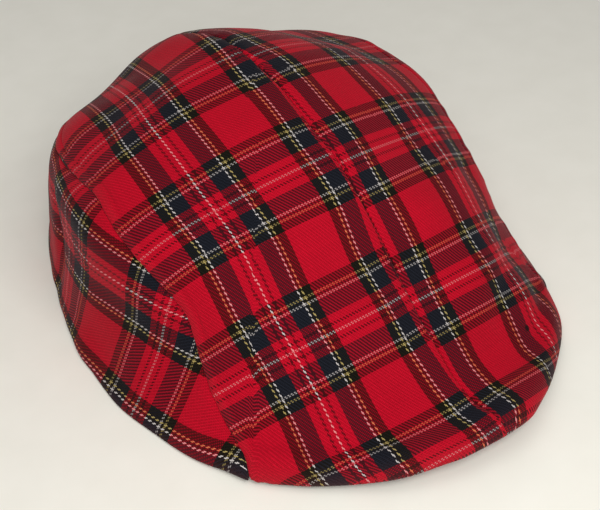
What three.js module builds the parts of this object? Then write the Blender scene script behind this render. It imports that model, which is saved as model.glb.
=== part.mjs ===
// Flat cap of tartan cloth: two crown halves that run on over the peak, a side panel each side, a stiff peak.
import * as THREE from 'three';

// Sizes in millimetres. The peak points to -Y, up is +Z, the wearer's right is -X; the rim lies on z = 0.
const CLOTH = 2.0; // thickness of a panel
const GAP = 0.3; // clear space between two sewn pieces
const APEX_Z = 90.5; // height of the point where the sections meet
const APEX_Y = 17; // its place along the cap, which sets the middle of the length at y = 0
const CORNER = 39.5; // degrees from the front where the side seam meets the peak's edge
const EDGE_ROLL = 5; // length over which the cloth turns down at the peak's edge
const EDGE_RISE = 4; // how much the peak stands proud behind that edge
const EDGE_FADE = 16; // distance from the edge where the rise has died out
const PEAK_THICK = 2.4; // stiff peak with its under cloth
const PEAK_GAP = 0.4; // clear space between the peak and the crown cloth over it
const PEAK_SPAN = 37; // degrees from the front to each end of the stiff peak
const PEAK_BACK = 0.8; // share of a section where the peak meets the head opening
const PEAK_FRONT = 0.98; // share of a section where the peak stops inside the rolled edge
const CLOTH_RED = 0xb8162a;
const UNDER_RED = 0x8a1422;

// Half sections through the apex, a row per angle from the front: reach and height of five marks, top to edge.
const SECTIONS = [
  { angle: 0, reach: [29.5, 58, 81, 104, 132.5], height: [80, 63, 41, 20.5, 9.5] },
  { angle: 30, reach: [30, 56.5, 85, 103.5, 122], height: [80.5, 64.5, 43.5, 22, 2] },
  { angle: 60, reach: [29, 55, 78.5, 88, 101.5], height: [81.5, 69.5, 50.5, 24, 0] },
  { angle: 90, reach: [28.5, 55, 77.5, 79, 87], height: [84, 74, 59, 29, 0] },
  { angle: 120, reach: [27.5, 53, 78, 82, 85.5], height: [86.5, 74, 61, 31, 0] },
  { angle: 150, reach: [27.5, 54, 75.5, 91.5, 95.5], height: [88, 75, 55.5, 30, 0] },
  { angle: 180, reach: [28.5, 57, 76, 93, 98.5], height: [90, 76.5, 55, 29.5, 0] },
];

// Where the side seam crosses each section, as a share of the section from apex to rim.
const SIDE_SEAM = [
  { angle: 39.5, share: 1.0 },
  { angle: 43.5, share: 0.91 },
  { angle: 47, share: 0.84 },
  { angle: 51.5, share: 0.755 },
  { angle: 55, share: 0.675 },
  { angle: 60, share: 0.632 },
  { angle: 68, share: 0.603 },
  { angle: 78, share: 0.57 },
  { angle: 90, share: 0.535 },
  { angle: 104, share: 0.553 },
  { angle: 121, share: 0.603 },
  { angle: 150, share: 0.63 },
  { angle: 180, share: 0.635 },
];

// Folds: path as angle (minus on the wearer's right) and share of the section, depth and half width of the hollow.
const FOLDS = [
  { path: [[-40, 0.905], [-19, 0.88], [0, 0.85], [15, 0.84]], depth: 1.6, width: 8 }, // valley behind the peak
  { path: [[15, 0.84], [23, 0.775], [34, 0.745], [50, 0.71]], depth: 3.2, width: 8 }, // its deeper left end
  { path: [[-106, 0.63], [-103, 0.7], [-100, 0.8], [-94, 0.9]], depth: 4, width: 7 }, // crease down the right side
];

const rad = (degrees) => (degrees * Math.PI) / 180;

// Smooth curve through four even marks, between the middle two.
function between(p0, p1, p2, p3, f) {
  const rise = (p2 - p0) * f + (2 * p0 - 5 * p1 + 4 * p2 - p3) * f * f;
  return p1 + 0.5 * (rise + (3 * p1 - p0 - 3 * p2 + p3) * f * f * f);
}

// Reach and height marks of the section at any angle; the sections mirror about front and back.
function sectionAt(angle) {
  const last = SECTIONS.length - 1;
  const place = angle / (180 / last);
  const k = Math.min(Math.floor(place), last - 1);
  const row = (i) => SECTIONS[i < 0 ? -i : i > last ? 2 * last - i : i];
  const marks = (key) => row(k)[key].map((_, j) =>
    between(row(k - 1)[key][j], row(k)[key][j], row(k + 1)[key][j], row(k + 2)[key][j], place - k));
  return { reach: marks('reach'), height: marks('height') };
}

// Share of a section at which the side seam crosses it: smooth curve through the table.
function seamShare(angle) {
  const rows = SIDE_SEAM;
  if (angle <= rows[0].angle) return 1;
  let k = 0;
  while (k < rows.length - 2 && angle > rows[k + 1].angle) k += 1;
  const slope = (i) => {
    const a = rows[Math.max(i - 1, 0)];
    const b = rows[Math.min(i + 1, rows.length - 1)];
    return i === rows.length - 1 ? 0 : (b.share - a.share) / (b.angle - a.angle);
  };
  const span = rows[k + 1].angle - rows[k].angle;
  const f = (angle - rows[k].angle) / span;
  const g = f * f * (3 - 2 * f);
  return rows[k].share * (1 - g) + rows[k + 1].share * g
    + span * (slope(k) * f * (1 - f) * (1 - f) - slope(k + 1) * f * f * (1 - f));
}

// How much the peak stands proud at a distance from its edge: a quarter round, then dying out.
function edgeRise(angle, fromEdge) {
  const onPeak = THREE.MathUtils.clamp((CORNER + 10 - angle) / 12, 0, 1);
  if (fromEdge >= EDGE_FADE || onPeak === 0) return 0;
  if (fromEdge < EDGE_ROLL) {
    const f = 1 - fromEdge / EDGE_ROLL;
    return EDGE_RISE * onPeak * Math.sqrt(Math.max(0, 1 - f * f));
  }
  const fade = (fromEdge - EDGE_ROLL) / (EDGE_FADE - EDGE_ROLL);
  return EDGE_RISE * onPeak * (0.5 + 0.5 * Math.cos(Math.PI * fade));
}

// Point of the cap's outer surface before folds; side is -1 or 1 along X.
function smoothPoint(side, angle, share) {
  const here = sectionAt(angle);
  const across = sectionAt(180 - angle);
  const reach = [-across.reach[0], 0, ...here.reach];
  const height = [across.height[0], APEX_Z, ...here.height];
  const end = reach.length - 1;
  reach.push(2 * reach[end] - reach[end - 1]);
  height.push(2 * height[end] - height[end - 1]);
  const place = share * (end - 1);
  const k = Math.min(Math.floor(place), end - 2);
  const r = between(...reach.slice(k, k + 4), place - k);
  const z = between(...height.slice(k, k + 4), place - k);
  const lastChord = Math.hypot(reach[end] - reach[end - 1], height[end] - height[end - 1]);
  const fromEdge = (1 - share) * (end - 1) * lastChord;
  const lifted = Math.max(0, z) + edgeRise(angle, fromEdge);
  return new THREE.Vector3(side * r * Math.sin(rad(angle)), APEX_Y - r * Math.cos(rad(angle)), lifted);
}

// Outward direction of a surface given as a point function.
function outward(pointAt, side, angle, share) {
  const STEP_ANGLE = 0.6;
  const STEP_SHARE = 0.004;
  if (share < 0.01) {
    const along = pointAt(side, 0, 0.03).sub(pointAt(side, 180, 0.03));
    return new THREE.Vector3(0, along.z, -along.y).normalize();
  }
  const a0 = Math.max(angle - STEP_ANGLE, 0);
  const a1 = Math.min(angle + STEP_ANGLE, 180);
  const s0 = Math.max(share - STEP_SHARE, 0);
  const s1 = Math.min(share + STEP_SHARE, 1);
  const turn = pointAt(side, a1, share).sub(pointAt(side, a0, share));
  const run = pointAt(side, angle, s1).sub(pointAt(side, angle, s0));
  const normal = run.cross(turn).multiplyScalar(side);
  if (angle < 0.01 || angle > 179.99) normal.x = 0;
  return normal.normalize();
}

// Folds as chains of straight pieces on the smooth surface.
const foldChains = FOLDS.map((fold) => {
  const marks = fold.path.map(([angle, share]) => smoothPoint(Math.sign(angle) || 1, Math.abs(angle), share));
  return { ...fold, lines: marks.slice(1).map((mark, i) => new THREE.Line3(marks[i], mark)) };
});

// Point of the outer surface with the folds pressed in.
function capPoint(side, angle, share) {
  const point = smoothPoint(side, angle, share);
  const near = new THREE.Vector3();
  let sink = 0;
  for (const fold of foldChains) {
    const away = Math.min(...fold.lines.map((line) => line.closestPointToPoint(point, true, near).distanceTo(point)));
    sink = Math.max(sink, fold.depth * Math.exp(-((away / fold.width) ** 2)));
  }
  if (sink < 0.01) return point;
  return point.addScaledVector(outward(smoothPoint, side, angle, share), -sink);
}

// Closed wall from two matching lattices of points, given the quads of one side; loose edges are walled up.
function closedWall(outer, inner, quads) {
  const seen = new Map();
  const name = (p) => [p.x, p.y, p.z].map((v) => v.toFixed(4)).join(' ');
  const same = outer.map((p, i) => {
    if (!seen.has(name(p))) seen.set(name(p), i);
    return seen.get(name(p));
  });
  const triangles = [];
  for (const [a, b, c, d] of quads.map((q) => q.map((i) => same[i]))) {
    for (const t of [[a, b, c], [a, c, d]]) {
      if (t[0] !== t[1] && t[1] !== t[2] && t[2] !== t[0]) triangles.push(t);
    }
  }
  const edges = new Set(triangles.flatMap(([a, b, c]) => [`${a} ${b}`, `${b} ${c}`, `${c} ${a}`]));
  const shift = outer.length;
  const faces = triangles.flatMap(([a, b, c]) => [[a, b, c], [c + shift, b + shift, a + shift]]);
  for (const edge of edges) {
    const [a, b] = edge.split(' ').map(Number);
    if (!edges.has(`${b} ${a}`)) faces.push([b, a, a + shift], [b, a + shift, b + shift]);
  }
  const points = [...outer, ...inner];
  const used = new Map();
  const kept = [];
  const index = faces.flat().map((i) => {
    if (!used.has(i)) used.set(i, kept.push(points[i]) - 1);
    return used.get(i);
  });
  let volume = 0;
  for (let i = 0; i < index.length; i += 3) {
    const [a, b, c] = [0, 1, 2].map((k) => kept[index[i + k]]);
    volume += a.dot(b.clone().cross(c));
  }
  if (volume < 0) index.reverse();
  const geometry = new THREE.BufferGeometry().setFromPoints(kept);
  geometry.setIndex(index);
  geometry.computeVertexNormals();
  return geometry;
}

// Quads of a lattice stored row after row.
function latticeQuads(rows, columns) {
  const quads = [];
  for (let i = 0; i + 1 < rows; i += 1) {
    for (let j = 0; j + 1 < columns; j += 1) {
      const k = i * columns + j;
      quads.push([k, k + 1, k + columns + 1, k + columns]);
    }
  }
  return quads;
}

const spread = (from, to, count) => Array.from({ length: count + 1 }, (_, i) => from + ((to - from) * i) / count);

// Columns shared by both pieces along the side seam, close together at the peak's corner.
const FLANK = 74;
const SEAM_ANGLES = [
  ...spread(0, 1, 14).map((f) => CORNER + (FLANK - CORNER) * f ** 1.6),
  ...spread(FLANK, 180, 17).slice(1),
];
const FRONT_ANGLES = spread(0, CORNER, 12).slice(0, -1);
const CROWN_SHARES = [...spread(0, PEAK_BACK, 10), 0.85, 0.89, 0.93, 0.96, PEAK_FRONT, 0.993, 1];

// Direction square to the side seam, lying in the cloth and pointing to the rim.
function seamOutward(side, angle) {
  const before = Math.max(angle - 0.5, CORNER);
  const after = Math.min(angle + 0.5, 180);
  const along = capPoint(side, after, seamShare(after)).sub(capPoint(side, before, seamShare(before)));
  const normal = outward(capPoint, side, angle, seamShare(angle));
  const square = along.cross(normal).multiplyScalar(side).normalize();
  return square.z > 0 ? square.negate() : square;
}

// One half of the crown: from the apex to the side seam, or to the peak's edge in front of the corner.
function crownHalf(side) {
  const angles = [...FRONT_ANGLES, ...SEAM_ANGLES];
  const outer = [];
  const inner = [];
  for (const share of CROWN_SHARES) {
    for (const angle of angles) {
      const place = share * seamShare(angle);
      const point = capPoint(side, angle, place);
      const normal = outward(capPoint, side, angle, place);
      if (share === 1 && angle > CORNER) point.addScaledVector(seamOutward(side, angle), -GAP / 2);
      point.x += (side * GAP) / 2;
      outer.push(point);
      inner.push(point.clone().addScaledVector(normal, -CLOTH));
    }
  }
  return closedWall(outer, inner, latticeQuads(CROWN_SHARES.length, angles.length));
}

// One side panel: from the side seam down to the rim, whose lower edge is flat on z = 0.
function sidePanel(side) {
  const angles = SEAM_ANGLES.slice(1);
  const downs = spread(0, 1, 9);
  const outer = [];
  const inner = [];
  for (const down of downs) {
    for (const angle of angles) {
      const top = seamShare(angle);
      const share = top + (1 - top) * down;
      const point = capPoint(side, angle, share);
      const normal = outward(capPoint, side, angle, share);
      if (down === 0) point.addScaledVector(seamOutward(side, angle), GAP / 2);
      if (down === 1) {
        normal.z = 0;
        normal.normalize();
        point.z = 0;
      }
      point.x += (side * GAP) / 2;
      outer.push(point);
      inner.push(point.clone().addScaledVector(normal, -CLOTH));
    }
  }
  return closedWall(outer, inner, latticeQuads(downs.length, angles.length));
}

// The stiff peak: a plate under both crown halves, from just inside the rolled edge back to the head opening.
function stiffPeak() {
  const half = FRONT_ANGLES.filter((angle) => angle <= PEAK_SPAN);
  const angles = [...half.slice(1).reverse().map((angle) => -angle), ...half];
  const shares = CROWN_SHARES.filter((share) => share >= PEAK_BACK && share <= PEAK_FRONT);
  const outer = [];
  const inner = [];
  for (const share of shares) {
    for (const angle of angles) {
      const side = angle < 0 ? -1 : 1;
      const point = capPoint(side, Math.abs(angle), share);
      const normal = outward(capPoint, side, Math.abs(angle), share);
      outer.push(point.clone().addScaledVector(normal, -CLOTH - PEAK_GAP));
      inner.push(point.clone().addScaledVector(normal, -CLOTH - PEAK_GAP - PEAK_THICK));
    }
  }
  return closedWall(outer, inner, latticeQuads(shares.length, angles.length));
}

function named(name, geometry, color) {
  const mesh = new THREE.Mesh(geometry, new THREE.MeshStandardMaterial({ color, roughness: 0.95, metalness: 0 }));
  mesh.name = name;
  return mesh;
}

const cap = new THREE.Group();
cap.name = 'flat_cap';
cap.add(named('top_left', crownHalf(1), CLOTH_RED));
cap.add(named('top_right', crownHalf(-1), CLOTH_RED));
cap.add(named('side_left', sidePanel(1), CLOTH_RED));
cap.add(named('side_right', sidePanel(-1), CLOTH_RED));
cap.add(named('peak', stiffPeak(), UNDER_RED));

export default cap;
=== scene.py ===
"""Flat cap of tartan cloth on a pale floor: woven panels with their seams, folds and wear."""
import math

import bmesh
import bpy
import numpy as np
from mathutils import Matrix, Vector


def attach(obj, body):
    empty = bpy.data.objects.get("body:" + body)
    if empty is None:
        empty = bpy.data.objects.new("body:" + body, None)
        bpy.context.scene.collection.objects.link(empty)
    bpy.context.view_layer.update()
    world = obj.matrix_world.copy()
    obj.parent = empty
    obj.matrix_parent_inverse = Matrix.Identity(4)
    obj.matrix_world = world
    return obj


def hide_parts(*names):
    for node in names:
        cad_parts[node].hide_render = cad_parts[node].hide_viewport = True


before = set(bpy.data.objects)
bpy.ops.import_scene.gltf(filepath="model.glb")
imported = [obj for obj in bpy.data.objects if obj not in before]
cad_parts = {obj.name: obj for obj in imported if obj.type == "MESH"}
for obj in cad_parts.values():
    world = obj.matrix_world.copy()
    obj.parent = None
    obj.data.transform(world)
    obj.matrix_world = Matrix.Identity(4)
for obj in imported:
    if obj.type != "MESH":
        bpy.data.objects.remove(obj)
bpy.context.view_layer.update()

# Sizes are in millimetres and become metres in the scene. The peak points to -Y, the wearer's right is -X.
MM = 0.001
TINY = 1e-9  # keeps a division off zero
CLOTH = 2.0  # thickness of a panel
APEX_Z = 90.5  # height of the point where the sections meet
APEX_Y = 17.0  # its place along the cap
CORNER = 39.5  # degrees from the front where the side seam meets the peak's edge

# The crown's cloth at the peak's edge.
EDGE_ROLL = 5.0  # length over which the cloth turns down at the edge
EDGE_RISE = 4.0  # how much the peak stands proud behind the edge
EDGE_FADE = 16.0  # distance from the edge where the rise has died out
RISE_PAST = 10.0  # degrees past the corner where the rise has died out along the edge
RISE_BLEND = 12.0  # degrees over which it does

# The stiff peak under the crown's cloth.
PEAK_THICK = 2.4  # thickness with its under cloth
PEAK_GAP = 0.4  # clear space between the peak and the crown cloth over it
PEAK_SPAN = 36.0  # degrees from the front to each end
PEAK_BACK = 0.8  # share of a section where the peak meets the head opening
PEAK_FRONT = 0.98  # share of a section where the peak stops inside the rolled edge
PEAK_END_ROUND = 3.0  # degrees over which it thins towards each end
PEAK_EDGE_ROUND = 0.012  # share of a section over which it thins towards its front and back edges
PEAK_EDGE_LEAST = 0.02  # square of the share of the thickness that is left at an edge
PEAK_EDGE_ROWS = np.array([0, 0.03, 0.08])  # rows of its mesh at its back edge, as shares of its depth
PEAK_BODY = 0.15  # share of its depth where its even rows begin

# Seams.
SEAM_GAP = 0.02  # half the clear space between two sewn edges
SEAM_TURN = 0.8  # radius of the turned edge at a seam
SEAM_DIP = 0.5  # depth of the soft ditch along the seams of centre and back
SEAM_DIP_WIDTH = 1.7  # its half width
SEAM_END = 4.0  # length at the centre seam's ends over which its ditch and puckers run out
SEAM_TAKE = 0.9  # cloth that the centre seam takes up on each side
SEAM_TAKE_REACH = 6.0  # distance from the seam over which the weave is drawn in by it
SIDE_DIP = 0.5  # depth of the soft ditch along the side panel's top edge
SIDE_DIP_WIDTH = 2.4  # its half width
RIDGE = 0.28  # height of the crown's edge over the cloth folded back under it
RIDGE_PLACE = 2.0  # distance of that ridge from the side seam
RIDGE_WIDTH = 1.4  # its half width
RIDGE_WEAR = 0.4  # its wear, where 1 is the most
GROOVE = 0.4  # depth of the line where the folded cloth ends
GROOVE_PLACE = 4.3  # distance of that line from the side seam
GROOVE_WIDTH = 0.45  # its half width

# Puckers that sewing leaves: height, length of seam for a radian of the wave, and start of the wave.
PUCKERS = [(0.16, 2.3, 0.0), (0.12, 1.45, 1.0), (0.10, 4.1, 2.0)]
PUCKER_REACH = 4.0  # distance from a seam over which its puckers die out
CENTRE_PUCKER = 1.15  # how much stronger they are at the centre seam
PUCKER_SHIFT = 3.0  # how far the crown halves' puckers are shifted along the centre seam, one each way

# The side panel's rim.
RIM_FLARE = 1.4  # how far it spreads
RIM_FLARE_REACH = 6.0  # height over which it does
RIM_TURN = 2.5  # height over which it turns in
RIM_TURN_SHARE = 0.3  # how much of a quarter round that turn is
RIM_LEVEL = 8.0  # height over which the cloth's outward direction comes down to level
FLOOR_CLEAR = 0.02  # least height above the floor

EDGE_WEAR = 2.2  # distance from an edge over which its wear dies out

# Half sections through the apex, a row for every 30 degrees from the front: reach and height of five marks.
SECTION_REACH = np.array([
    [29.5, 58, 81, 104, 133.6],
    [30, 56.5, 85, 103.5, 122.2],
    [29, 55, 78.5, 88, 101.5],
    [28.5, 55, 77.5, 79, 87],
    [27.5, 53, 78, 82, 85.5],
    [27.5, 54, 75.5, 91.5, 95.5],
    [28.5, 57, 76, 93, 98.5],
])
SECTION_HEIGHT = np.array([
    [80, 63, 41, 20.5, 8.8],
    [80.5, 64.5, 43.5, 22, 2],
    [81.5, 69.5, 50.5, 24, 0],
    [84, 74, 59, 29, 0],
    [86.5, 74, 61, 31, 0],
    [88, 75, 55.5, 30, 0],
    [90, 76.5, 55, 29.5, 0],
])

# Where the side seam crosses each section: angle from the front, share of the section from apex to rim.
SIDE_SEAM = np.array([
    [39.5, 1.0], [43.5, 0.91], [47, 0.84], [51.5, 0.755], [55, 0.675], [60, 0.632], [68, 0.603],
    [78, 0.57], [90, 0.535], [104, 0.553], [121, 0.603], [150, 0.63], [180, 0.635],
])

# Folds: half width, and path as angle (minus on the wearer's right), share of the section and depth there.
FOLDS = [
    # Valley behind the peak, and its left end that runs up the crown.
    {"width": 8, "path": [(-40, 0.905, 1.6), (-19, 0.88, 1.6), (0, 0.85, 1.6), (15, 0.84, 1.6)]},
    {"width": 8, "path": [(15, 0.84, 1.6), (23, 0.775, 2.2), (34, 0.745, 1.4), (50, 0.71, 0)]},
    # Crease down the right side.
    {
        "width": 6,
        "path": [
            (-115, 0.63, 0.4), (-114, 0.7, 1.8), (-114, 0.79, 3.6), (-113, 0.86, 3.6), (-114, 0.95, 1.8),
        ],
    },
]

# Dents and, with a depth below zero, swellings of the worn cloth, given like the folds.
DENTS = [
    {"width": 9, "path": [(-128, 0.59, 1.2), (-119, 0.585, 2.8), (-107, 0.565, 2.8), (-98, 0.55, 1.2)]},
    {"width": 9, "path": [(54, 0.57, 2.0), (47, 0.59, 3.0), (40, 0.63, 1.4)]},
    {"width": 9, "path": [(36, 0.7, 1.2), (37, 0.8, 2.8), (34, 0.93, 1.6)]},
    {"width": 10, "path": [(56, 0.8, 0.6), (62, 0.74, 1.4), (70, 0.7, 0.6)]},
    {"width": 12, "path": [(113, 0.53, 1.2), (108, 0.44, 1.8), (98, 0.45, 1.2)]},
    {"width": 9, "path": [(-169, 0.34, -0.7), (-161, 0.38, -0.7)]},
    {"width": 8, "path": [(-150, 0.42, 1.4), (-140, 0.45, 0.8)]},
    {"width": 9, "path": [(41, 0.99, 1.2), (45, 0.97, 2.2), (54, 0.98, 1.6)]},
    {"width": 10, "path": [(-98, 0.97, 0.5), (-104, 0.97, 0.9), (-114, 0.97, 1.1), (-122, 0.96, 1.0)]},
    {"width": 9, "path": [(-82, 1.0, -0.4), (-87, 1.0, -1.0), (-92, 1.0, -0.2)]},
    {"width": 9, "path": [(-34, 1.0, -0.3), (-39, 1.0, -2.0), (-45, 1.0, -0.5)]},
    {"width": 7, "path": [(-7, 1.0, -1.5), (5, 1.0, -1.5)]},
]

# Slack of the cloth: slow waves as direction, wave length, height and start of the wave in turns.
WAVES = [
    {"way": (0.8, 0.5, 0.3), "length": 46, "height": 0.42, "start": 0.1},
    {"way": (-0.4, 0.9, 0.2), "length": 33, "height": 0.30, "start": 0.6},
    {"way": (0.5, -0.3, 0.8), "length": 24, "height": 0.18, "start": 0.3},
]

# The tartan's half repeat, from the middle of a white stripe to the middle of a red field: yarn, number of
# ends in the warp and number of picks in the weft.
SETT = [
    ("white", 1, 1),
    ("red", 5, 3),
    ("soot", 3, 2),
    ("red", 9, 5),
    ("navy", 18, 12),
    ("white", 2, 2),
    ("black", 3, 2),
    ("yellow", 2, 2),
    ("black", 10, 6),
    ("red", 29, 19),
]
END_PITCH = 0.302  # from one warp yarn to the next
PICK_PITCH = 0.507  # from one weft yarn to the next
HALF_ENDS = sum(ends for _, ends, _ in SETT)
HALF_PICKS = sum(picks for _, _, picks in SETT)
REPEAT = np.array([2 * HALF_ENDS * END_PITCH, 2 * HALF_PICKS * PICK_PITCH])

# The same half repeat by its wide bands, whose shade shines through the floats that cross them.
GROUND = [
    ("red", 18, 11),
    ("navy", 18, 12),
    ("black", 17, 12),
    ("red", 29, 19),
]

# Yarns: colour out of 255, and how much a float takes the shade of the yarn it crosses, in the warp and in
# the weft. Soot is the black of the narrow stripes, seen through red fluff from beside them.
YARN = {
    "red": ((219, 13, 49), 0.44, 0.50),
    "navy": ((34, 38, 50), 0.3, 0.38),
    "black": ((31, 29, 20), 0.3, 0.38),
    "soot": ((78, 18, 28), 0.3, 0.38),
    "yellow": ((240, 216, 135), 0.42, 0.62),
    "white": ((255, 248, 247), 0.3, 0.56),
}
WARP, WEFT = 1, 2  # columns of these three tables
BLEED = 0.10  # share of a float's colour that is the glow of the yarns around it
RED_CAST = 0.5  # how far red yarns around a float turn its hue to red
RED_LEAST = 0.3  # least red, from 0 to 1, of a yarn that counts as red

# The weave: two over and two under, with rounded floats. Half widths are in the yarns' own pitch, half
# lengths in the pitch of the yarns that they cross.
OVER = 2.0  # yarns that a float passes over
WARP_HALF = 0.54  # half width of an end
WARP_FLOAT_HALF = 1.08  # half length of its float
WEFT_HALF = 0.38  # half width of a pick
WEFT_FLOAT_HALF = 1.1  # half length of its float
WEFT_LOW = 0.72  # height of a weft float beside a warp float
WEFT_COVER = 3.0  # how steeply a pick comes to cover what lies under it

# Brightness of the cloth: the least and what is added. From a yarn's height: painted shade, darkest in the
# gaps between yarns and on the lower weft floats. From the unevenness of the fibres, of the dye and of each
# spun yarn: the cloth's own tone.
GAP_SHADE = (0.45, 0.58)
FIBRE_SHADE = (0.80, 0.40)
DYE_SHADE = (0.86, 0.28)
SPUN_SHADE = (0.92, 0.16)
FIBRE_NOISE = (2.6, 3.0)  # scale per millimetre and detail
DYE_NOISE = (0.045, 2.0)
RUBBED = (-0.05, 0.3)  # share of the worn colour at the most wear: the least and what the fibres add
RUBBED_COLOUR = (150, 84, 82)
ROUGHNESS = (0.78, 0.2)  # the least and what the fibres add
RELIEF = 0.12  # height of a float over the gaps between yarns
RELIEF_STRENGTH = 0.5
FIBRE_RELIEF = 0.3  # height of the fibres beside that of a float
SPECULAR = 0.08
SHEEN = 0.10
SHEEN_ROUGHNESS = 0.4
SHEEN_TINT = (1.0, 0.72, 0.74, 1.0)

# How each crown half lies on the cloth: turn of its grain in degrees, and shift from a crossing of stripes.
CROWN_GRAIN = {
    -1: {"turn": 6.9, "shift": (-5.4, -12.0)},
    1: {"turn": -4.9, "shift": (2.2, -7.2)},
}

# How the sewing eased the cloth of each crown half, at marks along it: shift across and shift along near the
# centre seam, then both further out.
CROWN_EASE = {
    -1: np.array([
        [-169, -1.4, 4.6, 1.5, 0.0],
        [-152, -1.4, 2.2, 1.8, -1.8],
        [-123, 0.3, 1.4, -0.4, -1.6],
        [-96, 0.9, 0.4, -0.2, -1.7],
        [-68, -1.7, 0.1, -1.6, -1.7],
        [-41, -0.3, -0.1, 0.4, -0.4],
        [-15, 0.7, 1.9, 0.8, 1.2],
        [10, 0.5, 1.8, -1.0, 1.0],
    ]),
    1: np.array([
        [-169, 3.0, 3.5, 1.5, 2.4],
        [-160, 0.2, 2.4, 1.8, 2.2],
        [-152, -0.3, 1.3, 1.9, 1.9],
        [-123, 0.0, 0.3, -3.4, 0.4],
        [-96, 0.5, 0.4, 2.6, -0.2],
        [-68, 1.3, 0.5, 0.6, -0.4],
        [-41, -0.5, -0.6, 0.8, -0.1],
        [-14, 0.1, 0.3, -0.1, 0.4],
        [10, 2.0, 3.2, 0.0, 1.0],
    ]),
}
EASE_NEAR = 12.0  # distance across the cloth where the first shifts hold
EASE_FAR = {-1: 61.5, 1: 37.6}  # distance where the others hold

# The side panel's warp runs along the rim. Height above the rim, and the place across the warp found there.
SIDE_EASE = np.array([[0, -41.8], [4.6, -37.6], [32.5, -11.9], [45.5, 0], [55.5, 11.5], [75, 31]])
SIDE_PIVOT = 49.0  # distance along the rim from the peak's corner to a white stripe across the panel

# How the crease draws the side panel's cloth: height above the rim, and the full shifts across and along.
SIDE_DRAWN = np.array([
    [0, 2.5, -6.5],
    [12, 4.0, -6.5],
    [26, 6.0, -4.5],
    [41, 4.2, -3.5],
    [50, 1.0, -0.8],
    [57, -1.2, -0.8],
    [75, -1.2, 0.0],
])
DRAWN_FROM = 10.0  # distance behind the pivot's stripe where the crease's pull begins
DRAWN_FULL = 40.0  # distance where it is full

# A small dark hole in the left crown half, over the peak: place on the cloth and width.
BURN_PLACE = np.array([43.6, -136.1])
BURN_SIZE = 2.2
BURN_SOFT = 0.3  # half width of its edge
BURN_RAGGED = 0.7  # how far the fibres move that edge
BURN_COLOUR = (34, 12, 14)

# Every panel is cut from its own place on the bolt, given in whole repeats of the tartan.
BOLT = {
    "crown_right": (0, 0),
    "crown_left": (4, 0),
    "side_right": (8, 0),
    "side_left": (12, 0),
    "peak": (16, 0),
}

# Rows of a panel's mesh near an edge, by their distance from it: close at the edge and at the groove.
EDGE_STEPS = np.array([
    0, 0.08, 0.2, 0.35, 0.55, 0.8, 1.1, 1.5, 2, 2.5, 3, 3.4,
    3.7, 3.9, 4.1, 4.3, 4.5, 4.7, 4.9, 5.2, 5.7, 6.3, 7,
])
EDGE_CROWD = 3.0  # where a side panel is lower than this many times their width, they draw together
APEX_STEP = 0.008  # share of a section between the apex and the first row round it

# Columns of the meshes: how many, and by which power they crowd towards the start of their stretch.
FRONT_COLUMNS = (64, 1.7)  # over the peak
FLANK_COLUMNS = (40, 1.4)  # along the side seam's steep stretch
REAR_COLUMNS = (90, 1.6)  # from the back to that stretch
FLANK = 74.0  # degrees from the front where the side seam's steep stretch is over
SIDE_START = 41.0  # degrees from the front where the side panel is tall enough to be laid flat
POINT_COLUMNS = 2  # columns left out where the side panel comes to a point
SHARP = 60.0  # degrees between faces from which on an edge is sharp
WELD = 1e-6  # metres between points that are joined into one

# The floor.
FLOOR_HALF = 2000
FLOOR_COLOURS = [(239, 238, 231), (247, 246, 240)]
FLOOR_NOISE = (60.0, 4.0)  # scale per metre and detail
FLOOR_ROUGHNESS = 0.95
FLOOR_SPECULAR = 0.1

# Soft square lights, with the side of the square and the power in watts, and the pale room around them.
LIGHTS = [
    {"name": "key", "place": (-300, -420, 450), "aim": (0, 0, 40), "size": 300, "power": 1.8},
    {"name": "near", "place": (-50, -280, 340), "aim": (0, -60, 40), "size": 120, "power": 0.38},
    {"name": "top", "place": (-100, 0, 750), "aim": (-50, 0, 0), "size": 500, "power": 0.8},
]
LIGHT_COLOUR = (1.0, 0.98, 0.93)
ROOM_COLOUR = (240, 238, 234)
ROOM_STRENGTH = 0.43

# The view: degrees round the cap and above the floor, the point looked at, its distance, and the lens.
AZIMUTH = -38.8
ELEVATION = 40.4
TARGET = (-17.9, -28.3, 40)
DISTANCE = 413
LENS = 69.2
CLIP_START = 10


def between(p0, p1, p2, p3, f):
    """Smooth curve through four even marks, between the middle two."""
    rise = (p2 - p0) * f + (2 * p0 - 5 * p1 + 4 * p2 - p3) * f**2
    return p1 + 0.5 * (rise + (3 * p1 - p0 - 3 * p2 + p3) * f**3)


def section_at(table, angle):
    """Marks of the sections at any angles; the sections mirror about front and back."""
    last = len(table) - 1
    place = angle / (180 / last)
    k = np.minimum(place.astype(int), last - 1)
    mirrored = [np.where(i < 0, -i, np.where(i > last, 2 * last - i, i)) for i in (k - 1, k, k + 1, k + 2)]
    return between(*[table[i] for i in mirrored], (place - k)[:, None])


def seam_share(angle):
    """Share of a section at which the side seam crosses it: smooth curve through the table."""
    marks, shares = SIDE_SEAM.T
    n = len(marks)
    before = np.maximum(np.arange(n) - 1, 0)
    after = np.minimum(np.arange(n) + 1, n - 1)
    slope = (shares[after] - shares[before]) / (marks[after] - marks[before])
    slope[-1] = 0
    k = np.clip(np.searchsorted(marks, angle) - 1, 0, n - 2)
    span = marks[k + 1] - marks[k]
    f = (angle - marks[k]) / span
    g = f * f * (3 - 2 * f)
    bend = span * (slope[k] * f * (1 - f) ** 2 - slope[k + 1] * f * f * (1 - f))
    return np.where(angle <= marks[0], 1.0, shares[k] * (1 - g) + shares[k + 1] * g + bend)


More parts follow.
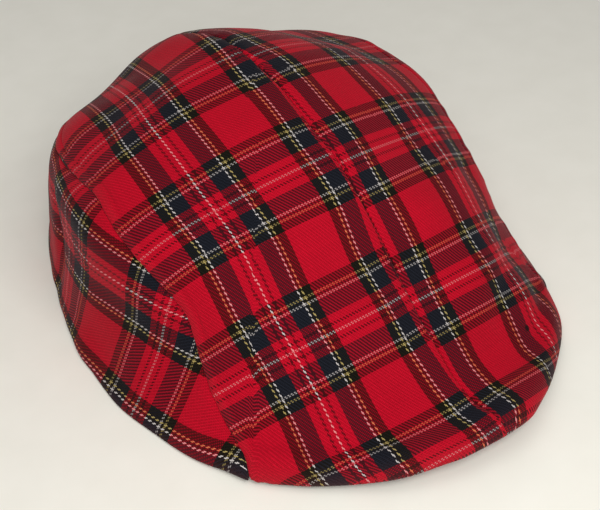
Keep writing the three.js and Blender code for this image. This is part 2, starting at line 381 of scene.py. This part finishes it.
def edge_rise(angle, from_edge):
    """How much the peak stands proud at a distance from its edge: a quarter round, then dying out."""
    on_peak = np.clip((CORNER + RISE_PAST - angle) / RISE_BLEND, 0, 1)
    turned = 1 - np.clip(1 - from_edge / EDGE_ROLL, 0, 1) ** 2
    fade = np.clip((from_edge - EDGE_ROLL) / (EDGE_FADE - EDGE_ROLL), 0, 1)
    return EDGE_RISE * on_peak * np.sqrt(np.maximum(0, turned)) * (0.5 + 0.5 * np.cos(np.pi * fade))


def smooth_point(side, angle, share):
    """Points of the cap's outer surface before folds; side is -1 or 1 along X."""
    reach, height = section_at(SECTION_REACH, angle), section_at(SECTION_HEIGHT, angle)
    over_reach, over_height = section_at(SECTION_REACH, 180 - angle), section_at(SECTION_HEIGHT, 180 - angle)
    n = len(angle)
    reach = np.concatenate([-over_reach[:, :1], np.zeros((n, 1)), reach], 1)
    height = np.concatenate([over_height[:, :1], np.full((n, 1), APEX_Z), height], 1)
    last_chord = np.hypot(reach[:, -1] - reach[:, -2], height[:, -1] - height[:, -2])
    reach = np.concatenate([reach, 2 * reach[:, -1:] - reach[:, -2:-1]], 1)
    height = np.concatenate([height, 2 * height[:, -1:] - height[:, -2:-1]], 1)
    marks = SECTION_REACH.shape[1]
    place = share * marks
    k = np.clip(place.astype(int), 0, marks - 1)
    row = np.arange(n)
    r = between(*[reach[row, k + i] for i in range(4)], place - k)
    z = between(*[height[row, k + i] for i in range(4)], place - k)
    lifted = np.maximum(0, z) + edge_rise(angle, (1 - share) * marks * last_chord)
    turn = np.radians(angle)
    return np.stack([side * r * np.sin(turn), APEX_Y - r * np.cos(turn), lifted], 1)


def outward(side, angle, share):
    """Outward directions of the smooth surface."""
    step_angle, step_share = 0.6, 0.004
    # On the centre line, and at the apex, the direction follows from the cap's symmetry.
    on_line, at_apex, beside_apex = 0.01, 0.01, 0.03
    turn = smooth_point(side, np.minimum(angle + step_angle, 180), share)
    turn = turn - smooth_point(side, np.maximum(angle - step_angle, 0), share)
    run = smooth_point(side, angle, np.minimum(share + step_share, 1))
    run = run - smooth_point(side, angle, np.maximum(share - step_share, 0))
    normal = np.cross(run, turn) * side
    normal[(angle < on_line) | (angle > 180 - on_line), 0] = 0
    ends = smooth_point(side, np.array([0.0, 180.0]), np.full(2, beside_apex))
    along = ends[0] - ends[1]
    normal[share < at_apex] = (0, along[2], -along[1])
    return normal / np.linalg.norm(normal, axis=1)[:, None]


def beside(points, start, end):
    """How far along a straight piece each point lies, from 0 to 1, and its distance from the piece."""
    run = end - start
    f = np.clip((points - start) @ run / max(run @ run, TINY), 0, 1)
    return f, np.linalg.norm(points - start - f[:, None] * run, axis=1)


def chain_distance(points, marks):
    """Distance of each point from a chain of straight pieces."""
    nearest = np.full(len(points), np.inf)
    for start, end in zip(marks[:-1], marks[1:]):
        nearest = np.minimum(nearest, beside(points, start, end)[1])
    return nearest


def path_points(path):
    """Places on the smooth surface of a path given as signed angles and shares."""
    points = []
    for angle, share in path:
        side = 1 if angle >= 0 else -1
        points.append(smooth_point(side, np.array([abs(float(angle))]), np.array([share]))[0])
    return np.array(points)


def bell(away, width):
    """Soft hump: 1 in the middle, dying out over the width."""
    return np.exp(-((away / width) ** 2))


def pressed(points, fold):
    """How far one fold or dent presses the cloth in."""
    marks = path_points([mark[:2] for mark in fold["path"]])
    depth = [mark[2] for mark in fold["path"]]
    sink = np.zeros(len(points))
    for k in range(len(marks) - 1):
        f, away = beside(points, marks[k], marks[k + 1])
        here = (depth[k] + (depth[k + 1] - depth[k]) * f) * bell(away, fold["width"])
        sink = np.where(np.abs(here) > np.abs(sink), here, sink)
    return sink


def fold_sink(points):
    """How far the folds press the cloth in."""
    return np.max([pressed(points, fold) for fold in FOLDS], axis=0)


def dent_sink(points):
    """How far the dents press the cloth in."""
    return np.sum([pressed(points, dent) for dent in DENTS], axis=0)


def slack(points):
    """Slow unevenness of cloth that is not stretched tight."""
    height = np.zeros(len(points))
    for wave in WAVES:
        way = np.array(wave["way"]) / np.linalg.norm(wave["way"])
        height += wave["height"] * np.sin(2 * np.pi * (points @ way / wave["length"] + wave["start"]))
    return height


def quarter_round(away, radius):
    """Drop of an edge that turns down over a radius, at a distance from the edge."""
    inside = np.clip(radius - away, 0, radius)
    return radius - np.sqrt(radius**2 - inside**2)


def cap_point(side, angle, share):
    """Points of the outer surface with the folds pressed in, and the outward directions there."""
    point = smooth_point(side, angle, share)
    normal = outward(side, angle, share)
    return point - fold_sink(point)[:, None] * normal, normal


def lattice(rows, columns):
    """Flat lists of the row and column values of a lattice, row after row."""
    r, c = np.meshgrid(rows, columns, indexing="ij")
    return r.ravel(), c.ravel()


def flatten(points, start, steps):
    """Flat places of a lattice of cloth, by springs along, across and on the diagonals."""
    damping, same_place = 0.9, 1e-6
    rows, columns = points.shape[:2]
    index = np.arange(rows * columns).reshape(rows, columns)
    pairs = [
        (index[:, :-1], index[:, 1:]),
        (index[:-1], index[1:]),
        (index[:-1, :-1], index[1:, 1:]),
        (index[:-1, 1:], index[1:, :-1]),
    ]
    i, j = (np.concatenate([pair[k].ravel() for pair in pairs]) for k in (0, 1))
    point = points.reshape(-1, 3)
    true_length = np.linalg.norm(point[i] - point[j], axis=1)
    real = true_length > same_place
    i, j, true_length = i[real], j[real], true_length[real]
    springs = np.bincount(np.concatenate([i, j]), minlength=len(point))[:, None]
    place = start.reshape(-1, 2).copy()
    speed = np.zeros_like(place)
    for _ in range(steps):
        gap = place[j] - place[i]
        length = np.linalg.norm(gap, axis=1) + TINY
        pull = gap * (0.5 * (length - true_length) / length)[:, None]
        move = []
        for way in pull.T:
            move.append(np.bincount(i, way, len(point)) - np.bincount(j, way, len(point)))
        speed = damping * speed + np.stack(move, 1) / springs
        place = place + speed
    return place.reshape(rows, columns, 2)


def sampled(table, row_place, column_place):
    """Values of a lattice table between its rows and columns, places given from 0 to 1."""
    rows, columns = table.shape[:2]
    y, x = row_place * (rows - 1), column_place * (columns - 1)
    i = np.clip(y.astype(int), 0, rows - 2)
    j = np.clip(x.astype(int), 0, columns - 2)
    fy, fx = (y - i)[:, None], (x - j)[:, None]
    near = table[i, j] * (1 - fx) + table[i, j + 1] * fx
    far = table[i + 1, j] * (1 - fx) + table[i + 1, j + 1] * fx
    return near * (1 - fy) + far * fy


def arc_lengths(points):
    """Length of cloth from the first row down to each row of a lattice."""
    steps = np.linalg.norm(np.diff(points, axis=0), axis=2)
    return np.concatenate([np.zeros((1, points.shape[1])), np.cumsum(steps, axis=0)])


def crown_flat(side):
    """A crown half laid flat with +X and +Y as its sides, on an even lattice of shares and angles."""
    rows, columns, steps = 40, 90, 1500
    part, angle = lattice(np.linspace(0, 1, rows), np.linspace(0, 180, columns))
    points = cap_point(side, angle, part * seam_share(angle))[0].reshape(rows, columns, 3)
    arc = arc_lengths(points).ravel()
    turn = np.radians(angle)
    start = np.stack([side * arc * np.sin(turn), -arc * np.cos(turn)], 1)
    return flatten(points, start.reshape(rows, columns, 2), steps)


def side_flat(side):
    """A side panel laid flat: first along the rim from the peak's corner, then up."""
    rows, columns, steps = 24, 90, 3000
    down, angle = lattice(np.linspace(0, 1, rows), np.linspace(SIDE_START, 180, columns))
    top = seam_share(angle)
    points = cap_point(side, angle, top + (1 - top) * down)[0].reshape(rows, columns, 3)
    arc = arc_lengths(points)
    along = np.concatenate([[0], np.cumsum(np.linalg.norm(np.diff(points[-1], axis=0), axis=1))])
    start = np.stack([np.broadcast_to(along, arc.shape), arc[-1] - arc], 2)
    return flatten(points, start, steps)


def spread(start, end, count, power=1.0):
    """Values from start to end, the end left out, closer together at the start where power is over 1."""
    return start + (end - start) * np.linspace(0, 1, count, endpoint=False) ** power


def seam_columns():
    """Angles of the mesh columns along the side seam, from the peak's corner to the back."""
    rear = 180 - spread(0, 180 - FLANK, *REAR_COLUMNS)[::-1]
    return np.concatenate([spread(CORNER, FLANK, *FLANK_COLUMNS), rear])


def crown_columns():
    """Angles of a crown half's mesh columns, from the front to the back."""
    return np.concatenate([spread(0, CORNER, *FRONT_COLUMNS), seam_columns()])


def seam_line(side):
    """The side seam as a chain of points."""
    marks = 140
    angle = np.linspace(CORNER, 180, marks)
    return smooth_point(side, angle, seam_share(angle))


def pucker(along):
    """Small unevenness that sewing leaves along a seam."""
    return sum(height * np.sin(along / run + start) for height, run, start in PUCKERS)


def crown_relief(side, point, from_edge):
    """Height of a crown half's surface over the smooth one, from its folds, slack and seams."""
    from_centre = np.abs(point[:, 0])
    from_seam = chain_distance(point, seam_line(side))
    height = slack(point) - fold_sink(point) - dent_sink(point)
    drawn_in = CENTRE_PUCKER * pucker(point[:, 1] + PUCKER_SHIFT * side)
    drawn_in *= np.exp(-from_centre / PUCKER_REACH)
    drawn_in -= SEAM_DIP * bell(from_centre, SEAM_DIP_WIDTH) + quarter_round(from_centre, SEAM_TURN)
    height += drawn_in * (1 - np.exp(-from_edge / SEAM_END))
    height += pucker(point[:, 1] + point[:, 2]) * np.exp(-from_seam / PUCKER_REACH)
    height += RIDGE * bell(from_seam - RIDGE_PLACE, RIDGE_WIDTH)
    height -= GROOVE * bell(from_seam - GROOVE_PLACE, GROOVE_WIDTH)
    return height - quarter_round(from_seam, SEAM_TURN)


def side_relief(side, point, above_rim):
    """Height of a side panel's surface over the smooth one, from its folds, slack, seams and rim."""
    out_of_reach = 100
    from_back = np.abs(point[:, 0]) + np.where(point[:, 1] < 0, out_of_reach, 0)
    from_seam = chain_distance(point, seam_line(side))
    height = slack(point) - fold_sink(point) - dent_sink(point)
    height += pucker(point[:, 2]) * np.exp(-from_back / PUCKER_REACH)
    height += pucker(point[:, 1] - point[:, 2]) * np.exp(-from_seam / PUCKER_REACH)
    height -= SEAM_DIP * bell(from_back, SEAM_DIP_WIDTH) + SIDE_DIP * bell(from_seam, SIDE_DIP_WIDTH)
    turn = RIM_TURN_SHARE * quarter_round(above_rim, RIM_TURN)
    height += RIM_FLARE * bell(above_rim, RIM_FLARE_REACH) - turn
    return height - quarter_round(from_back, SEAM_TURN) - quarter_round(from_seam, SEAM_TURN)


def eased(at, marks, values):
    """Rows of a table of values at any places, running softly from mark to mark."""
    k = np.clip(np.searchsorted(marks, at) - 1, 0, len(marks) - 2)
    f = np.clip((at - marks[k]) / (marks[k + 1] - marks[k]), 0, 1)
    f = (f * f * (3 - 2 * f))[:, None]
    return values[k] * (1 - f) + values[k + 1] * f


def crown_place(side, flat, part, angle):
    """Places on the cloth of a crown half's points, turned to the grain."""
    grain = CROWN_GRAIN[side]
    c, s = math.cos(math.radians(grain["turn"])), math.sin(math.radians(grain["turn"]))
    place = sampled(flat, part, angle / 180) @ np.array([[c, s], [-s, c]]) + grain["shift"]
    shifts = eased(place[:, 1], CROWN_EASE[side][:, 0], CROWN_EASE[side][:, 1:])
    far = np.clip((np.abs(place[:, 0]) - EASE_NEAR) / (EASE_FAR[side] - EASE_NEAR), 0, 1)[:, None]
    return place + shifts[:, :2] * (1 - far) + shifts[:, 2:] * far


def side_place(side, flat, down, angle, above_rim):
    """Places on the cloth of a side panel's points, drawn by the crease."""
    along = sampled(flat, down, np.clip((angle - SIDE_START) / (180 - SIDE_START), 0, 1))[:, 0]
    behind = along - SIDE_PIVOT
    pull = np.clip((behind - DRAWN_FROM) / (DRAWN_FULL - DRAWN_FROM), 0, 1)
    drawn = eased(above_rim, SIDE_DRAWN[:, 0], SIDE_DRAWN[:, 1:]) * pull[:, None]
    across = np.interp(above_rim, *SIDE_EASE.T) + drawn[:, 0]
    return np.stack([across, -side * (behind + drawn[:, 1])], 1)


def crown_rows(side, columns):
    """How far each point of a crown half lies from apex to edge, and the length of each column."""
    coarse_rows, body_rows, n = 40, 84, len(columns)
    part, angle = lattice(np.linspace(0, 1, coarse_rows), columns)
    coarse = smooth_point(side, angle, part * seam_share(angle))
    length = arc_lengths(coarse.reshape(coarse_rows, n, 3))[-1]
    edge = np.maximum(EDGE_STEPS[::-1, None], SEAM_GAP) / length
    body = np.linspace(APEX_STEP, 1, body_rows, endpoint=False)[:, None] * (1 - EDGE_STEPS[-1] / length)
    return np.concatenate([np.zeros((1, n)), body, 1 - edge]), length


def side_rows(side, columns):
    """How far each point of a side panel lies from seam to rim, and the height of each column."""
    coarse_rows, body_rows, n = 30, 46, len(columns)
    down, angle = lattice(np.linspace(0, 1, coarse_rows), columns)
    top = seam_share(angle)
    coarse = smooth_point(side, angle, top + (1 - top) * down)
    length = arc_lengths(coarse.reshape(coarse_rows, n, 3))[-1]
    edge = EDGE_STEPS[:, None] * np.minimum(1, length / (EDGE_CROWD * EDGE_STEPS[-1])) / length
    body = edge[-1] + (1 - 2 * edge[-1]) * np.linspace(0, 1, body_rows + 2)[1:-1, None]
    return np.concatenate([np.maximum(edge, SEAM_GAP / length), body, 1 - edge[::-1]]), length


def levelled(normal, above_rim):
    """Outward directions of a side panel, turned to level towards the rim."""
    kept = np.clip(above_rim / RIM_LEVEL, 0, 1)[:, None] ** 0.5
    sideways = normal * (1, 1, 0)
    sideways = sideways / np.linalg.norm(sideways, axis=1)[:, None]
    normal = normal * kept + sideways * (1 - kept)
    return normal / np.linalg.norm(normal, axis=1)[:, None]


def cloth_wall(side, surface, normal, rounding):
    """Outer and inner points of the cloth under a surface, rounded at a free edge and set off the middle."""
    inner = surface - (CLOTH - rounding)[:, None] * normal
    outer = surface - rounding[:, None] * normal
    for sheet in (outer, inner):
        sheet[:, 0] += side * SEAM_GAP
    return outer, inner


def crown_panel(side):
    """Outer and inner points of a crown half, its place on the cloth, and its flat cut."""
    columns = crown_columns()
    part, length = crown_rows(side, columns)
    shape = (*part.shape, 3)
    from_edge = ((1 - part) * length).ravel()
    part, angle = part.ravel(), np.tile(columns, len(part))
    share = part * seam_share(angle)
    point, normal = smooth_point(side, angle, share), outward(side, angle, share)
    surface = point + crown_relief(side, point, from_edge)[:, None] * normal
    on_peak = angle <= CORNER
    rounding = np.where(on_peak, quarter_round(from_edge, CLOTH / 2), 0)
    outer, inner = cloth_wall(side, surface, normal, rounding)
    flat = crown_flat(side)
    wear = np.where(on_peak, np.exp(-from_edge / EDGE_WEAR), 0)
    from_ridge = chain_distance(point, seam_line(side)) - RIDGE_PLACE
    wear = np.maximum(wear, RIDGE_WEAR * bell(from_ridge, RIDGE_WIDTH))
    place = np.column_stack([crown_place(side, flat, part, angle), wear])
    place[:, 0] += side * SEAM_TAKE * bell(point[:, 0], SEAM_TAKE_REACH)
    return outer.reshape(shape), inner.reshape(shape), place.reshape(shape), flat


def side_panel(side):
    """Outer and inner points of a side panel, its place on the cloth, and its flat cut."""
    columns = seam_columns()[POINT_COLUMNS:]
    down, length = side_rows(side, columns)
    shape = (*down.shape, 3)
    above_rim = ((1 - down) * length).ravel()
    down, angle = down.ravel(), np.tile(columns, len(down))
    top = seam_share(angle)
    share = top + (1 - top) * down
    point = smooth_point(side, angle, share)
    normal = levelled(outward(side, angle, share), above_rim)
    surface = point + side_relief(side, point, above_rim)[:, None] * normal
    outer, inner = cloth_wall(side, surface, normal, quarter_round(above_rim, CLOTH / 2))
    for sheet in (outer, inner):
        sheet[:, 2] = np.maximum(sheet[:, 2], FLOOR_CLEAR)
    flat = side_flat(side)
    wear = np.exp(-above_rim / EDGE_WEAR)
    place = np.column_stack([side_place(side, flat, down, angle, above_rim), wear])
    return outer.reshape(shape), inner.reshape(shape), place.reshape(shape), flat


def peak_plate():
    """Upper and lower points of the stiff peak, and its place on the cloth."""
    half_columns, body_rows = 40, 26
    half = spread(0, PEAK_SPAN, half_columns)
    signed = np.concatenate([-half[:0:-1], half])
    body = np.linspace(PEAK_BODY, 1 - PEAK_BODY, body_rows)
    steps = np.concatenate([PEAK_EDGE_ROWS, body, 1 - PEAK_EDGE_ROWS[::-1]])
    share, angle = lattice(PEAK_BACK + (PEAK_FRONT - PEAK_BACK) * steps, signed)
    upper, lower = np.empty((len(angle), 3)), np.empty((len(angle), 3))
    across = np.minimum(PEAK_SPAN - np.abs(angle), PEAK_END_ROUND) / PEAK_END_ROUND
    from_edge = np.minimum(share - PEAK_BACK, PEAK_FRONT - share)
    along = np.minimum(from_edge, PEAK_EDGE_ROUND) / PEAK_EDGE_ROUND
    full = np.sqrt(np.clip(1 - (1 - np.minimum(across, along)) ** 2, PEAK_EDGE_LEAST, 1))
    for side, chosen in ((-1, angle < 0), (1, angle >= 0)):
        point, normal = cap_point(side, np.abs(angle[chosen]), share[chosen])
        point = point + (slack(point) - CLOTH - PEAK_GAP - PEAK_THICK / 2)[:, None] * normal
        swell = (PEAK_THICK / 2 * full[chosen])[:, None] * normal
        upper[chosen], lower[chosen] = point + swell, point - swell
    shape = (len(steps), len(signed), 3)
    place = np.column_stack([lower[:, :2], 1 - full])
    return upper.reshape(shape), lower.reshape(shape), place.reshape(shape)


def closed_shell(name, outer, inner, place, material):
    """A cloth wall as one closed mesh in metres, with its place on the bolt of cloth as an attribute."""
    rows, columns = outer.shape[:2]
    index = np.arange(rows * columns).reshape(rows, columns)
    quads = np.stack([index[:-1, :-1], index[:-1, 1:], index[1:, 1:], index[1:, :-1]], -1).reshape(-1, 4)
    shift = rows * columns
    rim = np.concatenate([index[0, :-1], index[:-1, -1], index[-1, :0:-1], index[:0:-1, 0]])
    after = np.roll(rim, -1)
    walls = np.stack([after, rim, rim + shift, after + shift], 1)
    faces = np.concatenate([quads, quads[:, ::-1] + shift, walls])
    mesh = bpy.data.meshes.new(name)
    points = np.concatenate([outer.reshape(-1, 3), inner.reshape(-1, 3)]) * MM
    mesh.from_pydata(points.tolist(), [], faces.tolist())
    cloth = mesh.attributes.new("cloth", "FLOAT_VECTOR", "POINT")
    cloth.data.foreach_set("vector", np.tile(place.ravel(), 2).astype(np.float32))
    welded = bmesh.new()
    welded.from_mesh(mesh)
    bmesh.ops.remove_doubles(welded, verts=welded.verts, dist=WELD)
    bmesh.ops.recalc_face_normals(welded, faces=welded.faces)
    welded.to_mesh(mesh)
    welded.free()
    mesh.shade_smooth()
    mesh.set_sharp_from_angle(angle=math.radians(SHARP))
    mesh.materials.append(material)
    piece = bpy.data.objects.new(name, mesh)
    bpy.context.collection.objects.link(piece)
    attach(piece, "root")
    return piece


def linear(colour):
    """Scene colour of a screen colour out of 255, by the sRGB curve and with full alpha."""
    parts = [c / 255 for c in colour]
    return tuple(c / 12.92 if c <= 0.04045 else ((c + 0.055) / 1.055) ** 2.4 for c in parts) + (1.0,)


class Graph:
    """Adds shader nodes to a material, each input a number or another node's output."""

    def __init__(self, material):
        material.use_nodes = True
        self.tree = material.node_tree
        self.shader = self.tree.nodes["Principled BSDF"]

    def feed(self, socket, value):
        """Links an output to a socket, or sets the socket's own value."""
        if isinstance(value, bpy.types.NodeSocket):
            self.tree.links.new(value, socket)
        else:
            socket.default_value = value

    def node(self, kind, **settings):
        """A new node with its settings."""
        made = self.tree.nodes.new(kind)
        for key, value in settings.items():
            setattr(made, key, value)
        return made

    def math(self, operation, *values):
        """Result of an operation on numbers and outputs."""
        made = self.node("ShaderNodeMath", operation=operation)
        for socket, value in zip(made.inputs, values):
            self.feed(socket, value)
        return made.outputs[0]

    def mix(self, amount, a, b, blend="MIX"):
        """Colour a with an amount of colour b blended in."""
        made = self.node("ShaderNodeMix", data_type="RGBA", blend_type=blend)
        # By number, because the node's sockets for numbers and colours have the same names.
        for socket, value in zip((made.inputs[0], made.inputs[6], made.inputs[7]), (amount, a, b)):
            self.feed(socket, value)
        return made.outputs[2]

    def choose(self, switch, on, off):
        """One of two numbers, by a switch of 1 or 0."""
        return self.math("MULTIPLY_ADD", switch, self.math("SUBTRACT", on, off), off)

    def scaled(self, amount, limits):
        """The least of two limits, plus the amount times the other."""
        least, added = limits
        return self.math("MULTIPLY_ADD", amount, added, least)

    def uneven(self, count):
        """A number from 0 to 1 that belongs to a yarn's count."""
        made = self.node("ShaderNodeTexWhiteNoise", noise_dimensions="1D")
        self.feed(made.inputs["W"], count)
        return made.outputs["Value"]

    def noise(self, vector, settings):
        """Soft noise from 0 to 1, with its settings given as scale and detail."""
        scale, detail = settings
        made = self.node("ShaderNodeTexNoise")
        self.feed(made.inputs["Vector"], vector)
        self.feed(made.inputs["Scale"], scale)
        self.feed(made.inputs["Detail"], detail)
        return made.outputs["Fac"]

    def stripes(self, bands, count, column):
        """Colour and thinness of the warp or weft yarn at a count from the middle of a white stripe."""
        total = sum(row[column] for row in bands)
        middle = self.math("ADD", count, 0.5)
        turned = self.math("DIVIDE", self.math("PINGPONG", middle, total), total)
        made = self.node("ShaderNodeValToRGB")
        made.color_ramp.interpolation = "CONSTANT"
        elements = made.color_ramp.elements
        elements.remove(elements[1])
        passed = 0
        for row in bands:
            yarn = YARN[row[0]]
            element = elements[0] if passed == 0 else elements.new(passed / total)
            element.color = linear(yarn[0])[:3] + (yarn[column],)
            passed += row[column]
        self.feed(made.inputs[0], turned)
        return made.outputs[0], made.outputs[1]


def yarn_round(g, place, middle, half):
    """Height of a rounded yarn: 1 in its middle, falling towards its edges."""
    off = g.math("DIVIDE", g.math("SUBTRACT", place, middle), half)
    return g.math("MAXIMUM", g.math("SUBTRACT", 1.0, g.math("MULTIPLY", off, off)), 0.0)


def weave(g, across, along):
    """Colour and height of the twill, and the unevenness of the yarn on top."""
    ends = g.math("DIVIDE", across, END_PITCH)
    picks = g.math("DIVIDE", along, PICK_PITCH)
    end, pick = g.math("FLOOR", ends), g.math("FLOOR", picks)
    warp_float = g.math("FLOORED_MODULO", g.math("ADD", end, picks), 2 * OVER)
    weft_float = g.math("FLOORED_MODULO", g.math("ADD", ends, pick), 2 * OVER)
    warp_up = g.math("LESS_THAN", warp_float, OVER)

    end_round = yarn_round(g, g.math("FRACT", ends), 0.5, WARP_HALF)
    pick_round = yarn_round(g, g.math("FRACT", picks), 0.5, WEFT_HALF)
    warp_height = g.math("MULTIPLY", end_round, yarn_round(g, warp_float, 0.5 * OVER, WARP_FLOAT_HALF))
    weft_height = g.math("MULTIPLY", pick_round, yarn_round(g, weft_float, 1.5 * OVER, WEFT_FLOAT_HALF))
    height = g.choose(warp_up, warp_height, g.math("MULTIPLY", weft_height, WEFT_LOW))

    warp, warp_thin = g.stripes(SETT, end, WARP)
    weft, weft_thin = g.stripes(SETT, pick, WEFT)
    warp_ground, weft_ground = g.stripes(GROUND, end, WARP)[0], g.stripes(GROUND, pick, WEFT)[0]
    upper, lower = g.mix(warp_up, weft, warp), g.mix(warp_up, warp_ground, weft_ground)
    # Where a pick leaves a gap, the two colours are multiplied in full: painted shade of the gap between
    # picks.
    covered = g.math("MINIMUM", g.math("MULTIPLY", pick_round, WEFT_COVER), 1.0)
    thin = g.choose(warp_up, warp_thin, g.choose(covered, weft_thin, 1.0))
    colour = g.mix(thin, upper, g.mix(1.0, upper, lower, "MULTIPLY"))
    colour = g.mix(BLEED, colour, lower)
    parts = g.node("ShaderNodeSeparateColor")
    g.feed(parts.inputs[0], lower)
    on_red = g.math("GREATER_THAN", parts.outputs["Red"], RED_LEAST)
    colour = g.mix(g.math("MULTIPLY", on_red, RED_CAST), colour, lower, "COLOR")
    return colour, height, g.choose(warp_up, g.uneven(end), g.uneven(pick))


def burn_mask(g, across, along, fibre, burn):
    """1 inside the small hole, 0 outside, with an edge that the fibres make ragged."""
    place = g.node("ShaderNodeCombineXYZ")
    g.feed(place.inputs[0], across)
    g.feed(place.inputs[1], along)
    apart = g.node("ShaderNodeVectorMath", operation="DISTANCE")
    g.feed(apart.inputs[0], place.outputs[0])
    apart.inputs[1].default_value = (*burn, 0.0)
    evened = g.math("SUBTRACT", apart.outputs["Value"], BURN_RAGGED / 2)
    ragged = g.math("MULTIPLY_ADD", fibre, BURN_RAGGED, evened)
    mask = g.node("ShaderNodeMapRange")
    radius = BURN_SIZE / 2
    for socket, value in zip(mask.inputs, (ragged, radius + BURN_SOFT, radius - BURN_SOFT, 0.0, 1.0)):
        g.feed(socket, value)
    return mask.outputs[0]


def tartan_cloth(burn):
    """Twill of dyed yarns, uneven and worn, with a small dark hole at a place on the cloth."""
    material = bpy.data.materials.new("tartan_twill")
    g = Graph(material)
    cloth = g.node("ShaderNodeAttribute", attribute_name="cloth").outputs["Vector"]
    split = g.node("ShaderNodeSeparateXYZ")
    g.feed(split.inputs[0], cloth)
    across, along, wear = split.outputs
    colour, height, spun = weave(g, across, along)
    fibre, dye = g.noise(cloth, FIBRE_NOISE), g.noise(cloth, DYE_NOISE)

    # Painted shade of the weave: lower yarns and the gaps between them are darker; fibres, dye and spun
    # yarns vary the tone.
    shade = g.scaled(height, GAP_SHADE)
    for source, limits in ((fibre, FIBRE_SHADE), (dye, DYE_SHADE), (spun, SPUN_SHADE)):
        shade = g.math("MULTIPLY", shade, g.scaled(source, limits))
    colour = g.mix(1.0, colour, shade, "MULTIPLY")
    rubbed = g.math("MULTIPLY", wear, g.scaled(fibre, RUBBED))
    colour = g.mix(rubbed, colour, linear(RUBBED_COLOUR))
    colour = g.mix(burn_mask(g, across, along, fibre, burn), colour, linear(BURN_COLOUR))
    g.feed(g.shader.inputs["Base Color"], colour)
    g.feed(g.shader.inputs["Roughness"], g.scaled(fibre, ROUGHNESS))

    bump = g.node("ShaderNodeBump")
    bump.inputs["Strength"].default_value = RELIEF_STRENGTH
    bump.inputs["Distance"].default_value = RELIEF * MM
    g.feed(bump.inputs["Height"], g.math("MULTIPLY_ADD", fibre, FIBRE_RELIEF, height))
    g.feed(g.shader.inputs["Normal"], bump.outputs[0])
    g.shader.inputs["Specular IOR Level"].default_value = SPECULAR
    g.shader.inputs["Sheen Weight"].default_value = SHEEN
    g.shader.inputs["Sheen Roughness"].default_value = SHEEN_ROUGHNESS
    g.shader.inputs["Sheen Tint"].default_value = SHEEN_TINT
    return material


def floor_material():
    """Pale matt ground with a faint unevenness."""
    material = bpy.data.materials.new("pale_floor")
    g = Graph(material)
    place = g.node("ShaderNodeTexCoord").outputs["Object"]
    dark, light = (linear(colour) for colour in FLOOR_COLOURS)
    g.feed(g.shader.inputs["Base Color"], g.mix(g.noise(place, FLOOR_NOISE), dark, light))
    g.shader.inputs["Roughness"].default_value = FLOOR_ROUGHNESS
    g.shader.inputs["Specular IOR Level"].default_value = FLOOR_SPECULAR
    return material


def build_cap():
    """All pieces of the cap, each standing for its solid."""
    tartan = tartan_cloth(BURN_PLACE + REPEAT * BOLT["crown_left"])
    for side, name in ((-1, "right"), (1, "left")):
        for kind, node, panel in (("crown", "top", crown_panel), ("side", "side", side_panel)):
            outer, inner, place, flat = panel(side)
            place[..., :2] += REPEAT * BOLT[f"{kind}_{name}"]
            piece = closed_shell(f"{kind}_{name}_cloth", outer, inner, place, tartan)
            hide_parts(f"{node}_{name}")
    upper, lower, place = peak_plate()
    place[..., :2] += REPEAT * BOLT["peak"]
    peak = closed_shell("peak_cloth", upper, lower, place, tartan)
    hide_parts("peak")


def build_floor():
    """A pale square under the cap."""
    mesh = bpy.data.meshes.new("floor")
    half = FLOOR_HALF * MM
    corners = [(-half, -half, 0), (half, -half, 0), (half, half, 0), (-half, half, 0)]
    mesh.from_pydata(corners, [], [(0, 1, 2, 3)])
    mesh.materials.append(floor_material())
    floor = bpy.data.objects.new("floor", mesh)
    bpy.context.collection.objects.link(floor)


def build_lights():
    """The soft square lights, each turned to its aim, and the pale room around them."""
    for row in LIGHTS:
        data = bpy.data.lights.new(row["name"], "AREA")
        data.size = row["size"] * MM
        data.energy = row["power"]
        data.color = LIGHT_COLOUR
        light = bpy.data.objects.new(row["name"], data)
        place = Vector(row["place"])
        light.location = place * MM
        light.rotation_euler = (Vector(row["aim"]) - place).to_track_quat("-Z", "Y").to_euler()
        bpy.context.collection.objects.link(light)
    world = bpy.data.worlds.new("soft_room")
    world.use_nodes = True
    room = world.node_tree.nodes["Background"]
    room.inputs["Color"].default_value = linear(ROOM_COLOUR)
    room.inputs["Strength"].default_value = ROOM_STRENGTH
    bpy.context.scene.world = world


def build_camera():
    """The camera at the photo's angle."""
    azimuth, elevation = math.radians(AZIMUTH), math.radians(ELEVATION)
    level = math.cos(elevation)
    back = Vector((math.sin(azimuth) * level, -math.cos(azimuth) * level, math.sin(elevation)))
    data = bpy.data.cameras.new("camera")
    data.lens = LENS
    data.clip_start = CLIP_START * MM
    camera = bpy.data.objects.new("camera", data)
    camera.location = Vector(TARGET) * MM + back * (DISTANCE * MM)
    camera.rotation_euler = (-back).to_track_quat("-Z", "Y").to_euler()
    bpy.context.collection.objects.link(camera)
    bpy.context.scene.camera = camera


build_cap()
build_floor()
build_lights()
build_camera()
bpy.context.scene.view_settings.view_transform = "Standard"
